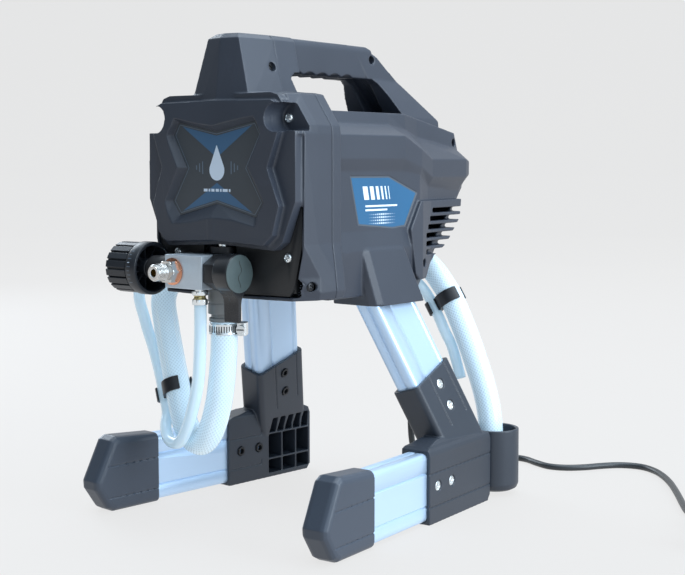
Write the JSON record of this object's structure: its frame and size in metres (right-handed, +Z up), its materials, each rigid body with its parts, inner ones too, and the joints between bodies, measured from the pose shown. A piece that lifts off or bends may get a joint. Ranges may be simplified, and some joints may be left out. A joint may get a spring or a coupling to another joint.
{
  "type": "airless paint sprayer",
  "caption": "Electric airless paint sprayer on two aluminium legs with long feet: piston pump, pressure knob, prime lever, carrying handle, suction hose to a cup, return tube and mains lead.",
  "frame": {"origin": "centre of the box round the sprayer without its hoses and lead, on the floor that the feet stand on", "axes": "+Z up; the pump and outlet face -Y; +X is the side of the prime lever and the suction cup"},
  "size_m": [0.5145, 0.4594, 0.4],
  "materials": {
    "aluminium": "satin anodised",
    "black_plastic": "moulded",
    "black_rubber": "smooth sheath",
    "black_steel": "black oxide",
    "blue_label": "printed film panel",
    "carbon": "pressed carbon",
    "cast_metal": "die cast",
    "charcoal_plastic": "moulded, fine-textured satin",
    "chrome": "hard chromed",
    "circuit_board": "board with moulded components",
    "clear_hose": "clear soft plastic with braid",
    "copper": "flat copper ring",
    "grey_plastic": "moulded",
    "magnet": "ferrite",
    "motor_steel": "deep-drawn can",
    "red_plastic": "moulded",
    "steel": "zinc plated",
    "winding": "laminated core with copper winding"
  },
  "bodies": {
    "frame": {"front_cover": "charcoal_plastic", "star_badge": "blue_label", "rear_housing_right": "charcoal_plastic", "rear_housing_left": "charcoal_plastic", "side_panel_right": "blue_label", "side_panel_left": "blue_label", "pump_plate": "black_plastic", "gearbox_case": "cast_metal", "motor_can": "motor_steel", "motor_magnets": "magnet", "motor_end_bell": "black_plastic", "carbon_brushes": "carbon", "shaft_bearings": "steel", "control_board": "circuit_board", "pump_block": "aluminium", "packing_nut": "black_steel", "outlet_fitting": "steel", "outlet_washer": "copper", "outlet_seat": "steel", "prime_valve_body": "black_steel", "pressure_sensor": "black_steel", "inlet_fitting": "steel", "inlet_seat": "steel", "hose_clamp": "steel", "return_fitting": "chrome", "leg_tube_right": "aluminium", "leg_tube_left": "aluminium", "foot_tube_right": "aluminium", "foot_tube_left": "aluminium", "elbow_right": "black_plastic", "elbow_left": "black_plastic", "foot_cap_right": "black_plastic", "foot_cap_left": "black_plastic", "hose_cup": "black_plastic", "leg_bolts": "steel", "leg_nuts": "steel", "housing_screws": "black_steel", "cover_screws": "steel", "pump_bolts": "steel", "hose_clips": "black_plastic", "suction_hose": "clear_hose", "return_tube": "clear_hose", "lead_gland": "black_rubber", "mains_lead": "black_rubber", "lead_coil": "black_rubber", "mains_plug": "black_rubber", "switch_bezel": "black_plastic"},
    "rotor": {"motor_shaft": "steel", "armature": "winding", "cooling_fan": "black_plastic"},
    "idler": {"idler_gear": "steel"},
    "crank": {"crank_gear": "steel"},
    "piston": {"piston_rod": "chrome", "crank_yoke": "aluminium"},
    "knob": {"pressure_knob": "black_plastic"},
    "lever": {"prime_lever": "black_plastic", "lever_cap": "grey_plastic"},
    "rocker": {"switch_rocker": "red_plastic"},
    "inlet_valve": {"inlet_ball": "steel"},
    "outlet_valve": {"outlet_ball": "steel"}
  },
  "joints": [
    {"name": "motor_spin", "type": "hinge", "parent": "frame", "child": "rotor", "pos_m": [0, -0.03, 0.30001], "axis": [0, 1, 0], "continuous": true},
    {"name": "idler_spin", "type": "hinge", "parent": "frame", "child": "idler", "pos_m": [-0.03481, -0.08, 0.29084], "axis": [0, 1, 0], "continuous": true},
    {"name": "crank_spin", "type": "hinge", "parent": "frame", "child": "crank", "pos_m": [-0.006, -0.085, 0.264], "axis": [0, 1, 0], "continuous": true},
    {"name": "piston_stroke", "type": "slide", "parent": "frame", "child": "piston", "axis": [0, 0, 1], "range_m": [0, 0.016]},
    {"name": "pressure_turn", "type": "hinge", "parent": "frame", "child": "knob", "pos_m": [-0.085, -0.122, 0.21121], "axis": [-1, 0, 0], "range_deg": [0, 270]},
    {"name": "prime_turn", "type": "hinge", "parent": "frame", "child": "lever", "pos_m": [0.022, -0.122, 0.21121], "axis": [-1, 0, 0], "range_deg": [0, 90]},
    {"name": "switch_rock", "type": "hinge", "parent": "frame", "child": "rocker", "pos_m": [0, 0.1515, 0.29501], "axis": [-1, 0, 0], "range_deg": [0, 18]},
    {"name": "inlet_ball_lift", "type": "slide", "parent": "frame", "child": "inlet_valve", "axis": [0, 0, 1], "range_m": [0, 0.0015]},
    {"name": "outlet_ball_lift", "type": "slide", "parent": "frame", "child": "outlet_valve", "axis": [0, -1, 0], "range_m": [0, 0.0015], "stiffness_N_per_m": 20}
  ],
  "couplings": [
    {"joint": "idler_spin", "follows": "motor_spin", "ratio": -0.24138},
    {"joint": "crank_spin", "follows": "motor_spin", "ratio": 0.075431}
  ]
}
